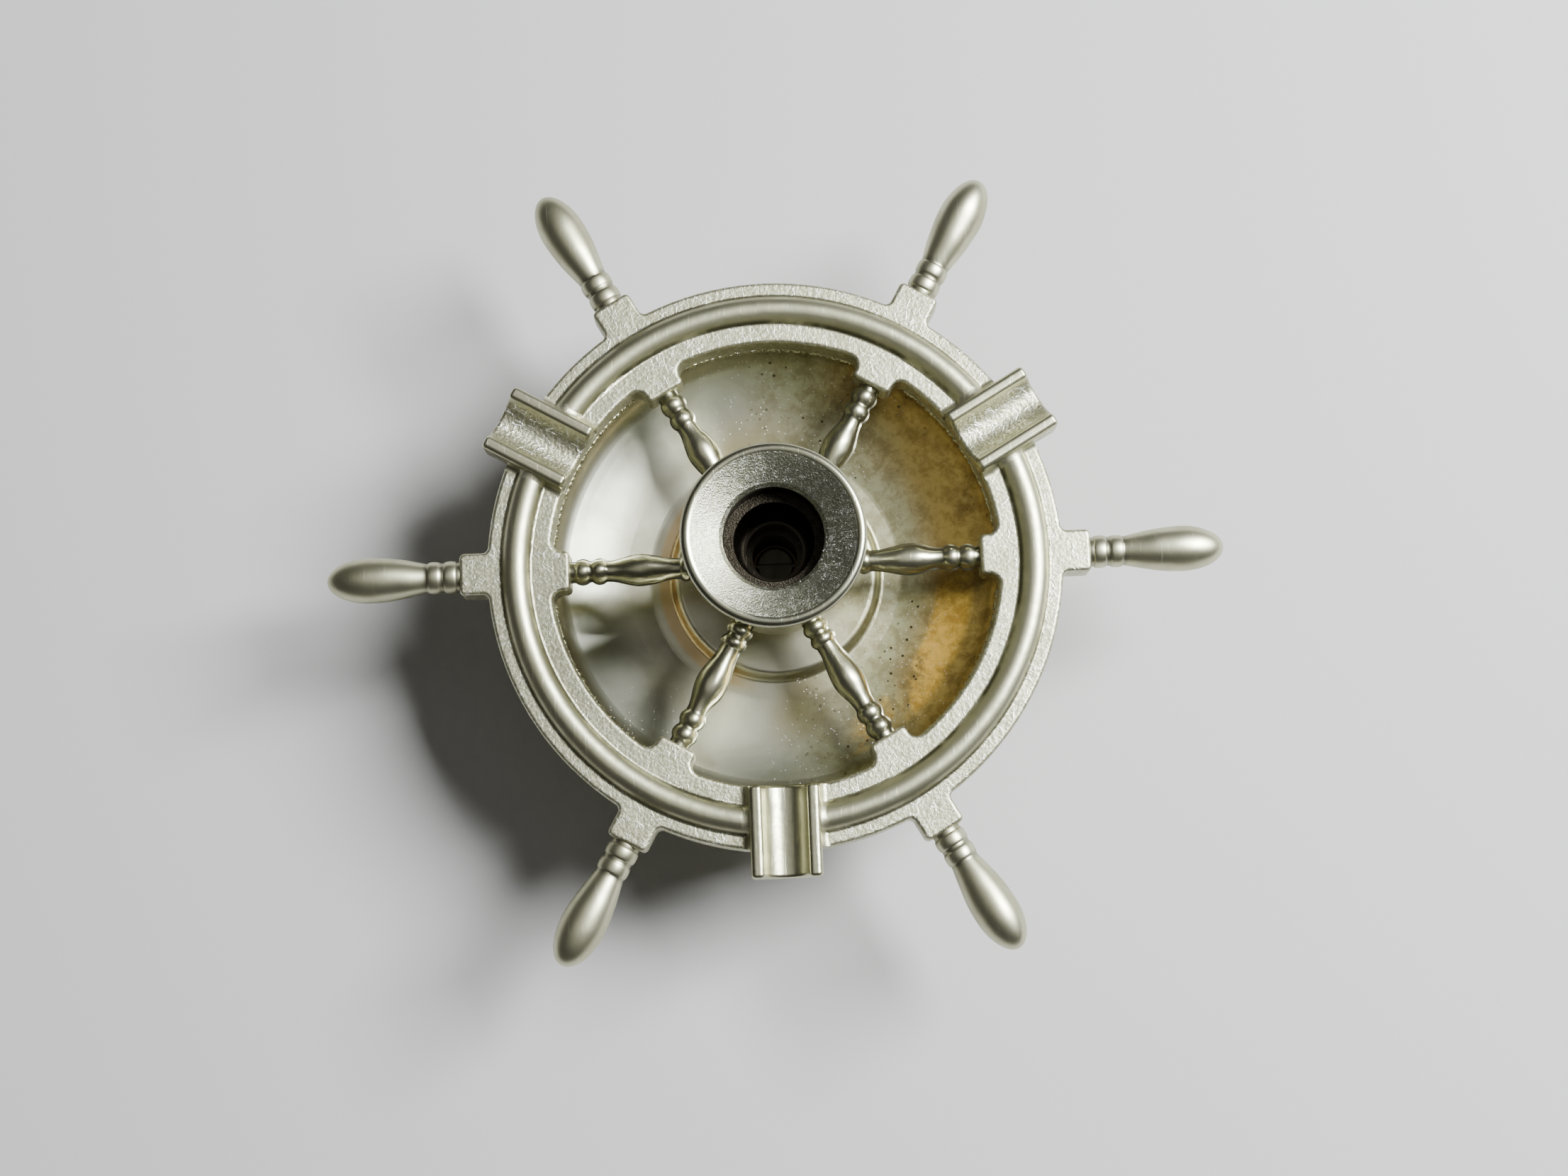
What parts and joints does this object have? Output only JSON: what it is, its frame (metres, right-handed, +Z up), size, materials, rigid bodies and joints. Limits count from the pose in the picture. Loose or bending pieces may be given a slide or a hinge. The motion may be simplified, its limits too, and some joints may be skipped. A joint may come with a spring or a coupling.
{
  "type": "ship's wheel ashtray",
  "caption": "Desk ashtray shaped as a ship's wheel: turned spokes and handles, stepped rim with cigarette rests, funnel-topped hub, spun bowl and pedestal foot.",
  "frame": {"origin": "on the wheel's axis, where the felt pad meets the table", "axes": "+Z up the wheel's axis towards the hub cup's lip, +X along the first handle"},
  "size_m": [0.23, 0.2004, 0.0934],
  "materials": {
    "cast_brass": "sand-cast, satin with a fine grain, aged pale",
    "turned_brass": "satin polished, aged pale",
    "spun_brass": "polished inside, tarnished brown in patches",
    "machined_brass": "turned, unlacquered",
    "bearing_bronze": "plain bearing bronze",
    "plated_steel": "dull plated",
    "felt": "pressed green felt"
  },
  "bodies": {
    "base": {"bowl": "spun_brass", "foot": "cast_brass", "centre_post": "machined_brass", "thrust_washer": "bearing_bronze", "cap_screw": "machined_brass", "base_washer": "plated_steel", "base_nut": "plated_steel", "felt_pad": "felt"},
    "swivel": {"pivot_sleeve": "bearing_bronze"},
    "wheel": {"rim": "cast_brass", "hub_cup": "cast_brass", "hub_barrel": "cast_brass", "spoke_1": "turned_brass", "spoke_2": "turned_brass", "spoke_3": "turned_brass", "spoke_4": "turned_brass", "spoke_5": "turned_brass", "spoke_6": "turned_brass", "handle_1": "turned_brass", "handle_2": "turned_brass", "handle_3": "turned_brass", "handle_4": "turned_brass", "handle_5": "turned_brass", "handle_6": "turned_brass", "cigarette_rest_1": "cast_brass", "cigarette_rest_2": "cast_brass", "cigarette_rest_3": "cast_brass"}
  },
  "joints": [
    {"name": "wheel_turn", "type": "hinge", "parent": "base", "child": "swivel", "pos_m": [0, 0, 0.048], "axis": [0, 0, 1], "continuous": true},
    {"name": "wheel_lift", "type": "slide", "parent": "swivel", "child": "wheel", "axis": [0, 0, 1], "range_m": [0, 0.03]}
  ]
}
